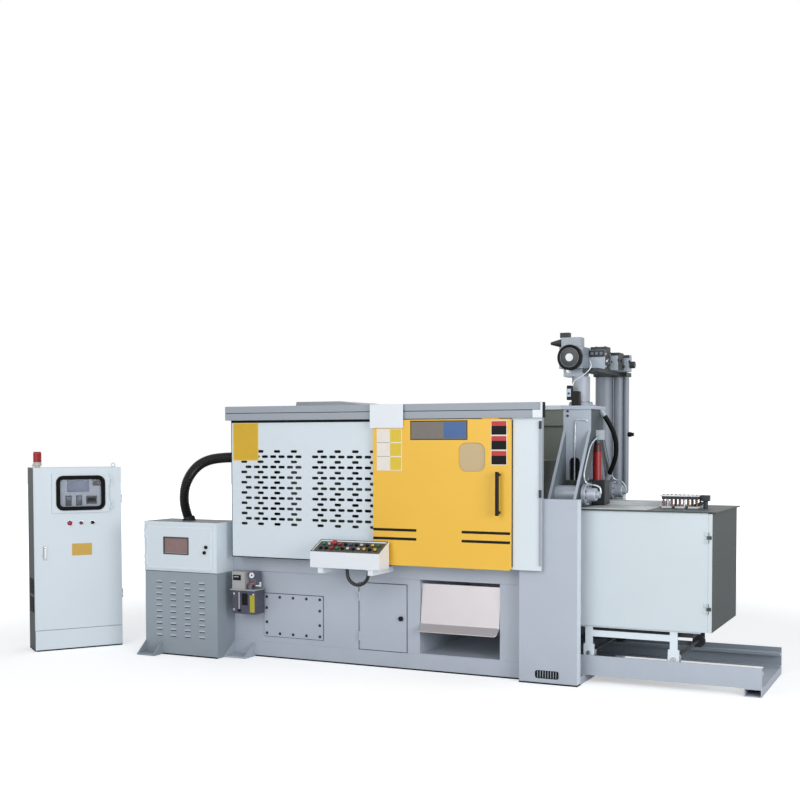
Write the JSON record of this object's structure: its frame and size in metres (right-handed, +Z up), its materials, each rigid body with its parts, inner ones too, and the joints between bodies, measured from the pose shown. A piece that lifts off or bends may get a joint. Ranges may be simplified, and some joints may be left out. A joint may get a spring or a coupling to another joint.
{
  "type": "die casting machine",
  "caption": "Hot-chamber die casting machine with a guarded clamp, a rolling furnace on rails, an injection tower, a power cabinet and a free-standing control cabinet",
  "frame": {"origin": "on the floor under the bed, on the machine's centre line", "axes": "+X runs along the machine towards the furnace, the operator stands at -Y, +Z is up"},
  "size_m": [5.5437, 1.696, 2.376],
  "materials": {
    "bed_paint": "satin",
    "dark_grey_paint": "satin",
    "pale_paint": "satin",
    "yellow_paint": "gloss",
    "green_grey_paint": "satin",
    "black_paint": "satin",
    "red_paint": "gloss",
    "stainless": "brushed",
    "steel": "satin",
    "bright_rod": "polished",
    "platen_iron": "matte",
    "white_paint": "satin",
    "black_plastic": "matte",
    "button_plastic": "gloss",
    "hose_plastic": "matte",
    "window": "clear"
  },
  "bodies": {
    "machine": {"bed": "bed_paint", "access_cover": "bed_paint", "chute_slide": "stainless", "side_posts": "bed_paint", "furnace_rails": "bed_paint", "fixed_platen": "platen_iron", "clamp_unit": "platen_iron", "tie_bars": "bright_rod", "guard_frame": "pale_paint", "front_panels": "pale_paint", "rear_panel": "pale_paint", "left_end_panel": "pale_paint", "guard_roof": "pale_paint", "front_rail": "pale_paint", "rail_covers": "white_paint", "control_desk": "white_paint", "desk_buttons": "button_plastic", "desk_hose": "hose_plastic", "power_cabinet_base": "dark_grey_paint", "power_cabinet_box": "pale_paint", "power_hose": "hose_plastic", "tower_hose": "hose_plastic", "lube_tank": "pale_paint", "lube_pump": "dark_grey_paint", "control_cabinet": "pale_paint", "beacon": "red_paint", "injection_frame": "pale_paint", "carriage_cylinders": "steel", "injection_cylinder": "steel", "injection_head": "steel", "valve_manifold": "steel", "accumulators": "dark_grey_paint", "gooseneck": "black_paint", "hose_bosses": "pale_paint", "plunger_cover": "red_paint", "position_switch": "black_plastic"},
    "door": {"sliding_door": "yellow_paint", "door_window": "window", "door_handle": "black_plastic"},
    "bed_hatch": {"bed_door": "bed_paint"},
    "power_hatch": {"power_cabinet_door": "pale_paint"},
    "cabinet_front": {"control_cabinet_door": "pale_paint", "cabinet_instruments": "black_plastic"},
    "instrument_panel": {"instrument_door": "pale_paint", "instrument_glass": "window"},
    "furnace": {"furnace_shell": "pale_paint", "furnace_lid": "green_grey_paint", "burner_set": "steel", "furnace_carriage": "pale_paint"},
    "furnace_front": {"furnace_door": "green_grey_paint"},
    "inner_wheels": {"inner_wheelset": "steel"},
    "outer_wheels": {"outer_wheelset": "steel"}
  },
  "joints": [
    {"name": "door_slide", "type": "slide", "parent": "machine", "child": "door", "axis": [-1, 0, 0], "range_m": [0, 1]},
    {"name": "bed_hatch_hinge", "type": "hinge", "parent": "machine", "child": "bed_hatch", "pos_m": [-0.322, -0.5084, 0.36], "axis": [0, 0, -1], "range_deg": [0, 110]},
    {"name": "power_hatch_hinge", "type": "hinge", "parent": "machine", "child": "power_hatch", "pos_m": [-2.04, -0.7354, 0.8175], "axis": [0, 0, -1], "range_deg": [0, 90]},
    {"name": "cabinet_door_hinge", "type": "hinge", "parent": "machine", "child": "cabinet_front", "pos_m": [-2.4668, -0.50675, 0.8], "axis": [0, 0, 1], "range_deg": [0, 70]},
    {"name": "instrument_door_hinge", "type": "hinge", "parent": "cabinet_front", "child": "instrument_panel", "pos_m": [-2.49692, -0.60615, 1.215], "axis": [0, 0, 1], "range_deg": [0, 100]},
    {"name": "furnace_slide", "type": "slide", "parent": "machine", "child": "furnace", "axis": [1, 0, 0], "range_m": [0, 0.45]},
    {"name": "furnace_door_hinge", "type": "hinge", "parent": "furnace", "child": "furnace_front", "pos_m": [2.155, -0.424, 0.769], "axis": [0, 0, -1], "range_deg": [0, 110]},
    {"name": "inner_wheels_roll", "type": "hinge", "parent": "furnace", "child": "inner_wheels", "pos_m": [1.362, 0, 0.2], "axis": [0, 1, 0], "continuous": true},
    {"name": "outer_wheels_roll", "type": "hinge", "parent": "furnace", "child": "outer_wheels", "pos_m": [1.933, 0, 0.2], "axis": [0, 1, 0], "continuous": true}
  ],
  "couplings": [
    {"joint": "inner_wheels_roll", "follows": "furnace_slide", "rad_per_m": 22.371},
    {"joint": "outer_wheels_roll", "follows": "furnace_slide", "rad_per_m": 22.371}
  ]
}
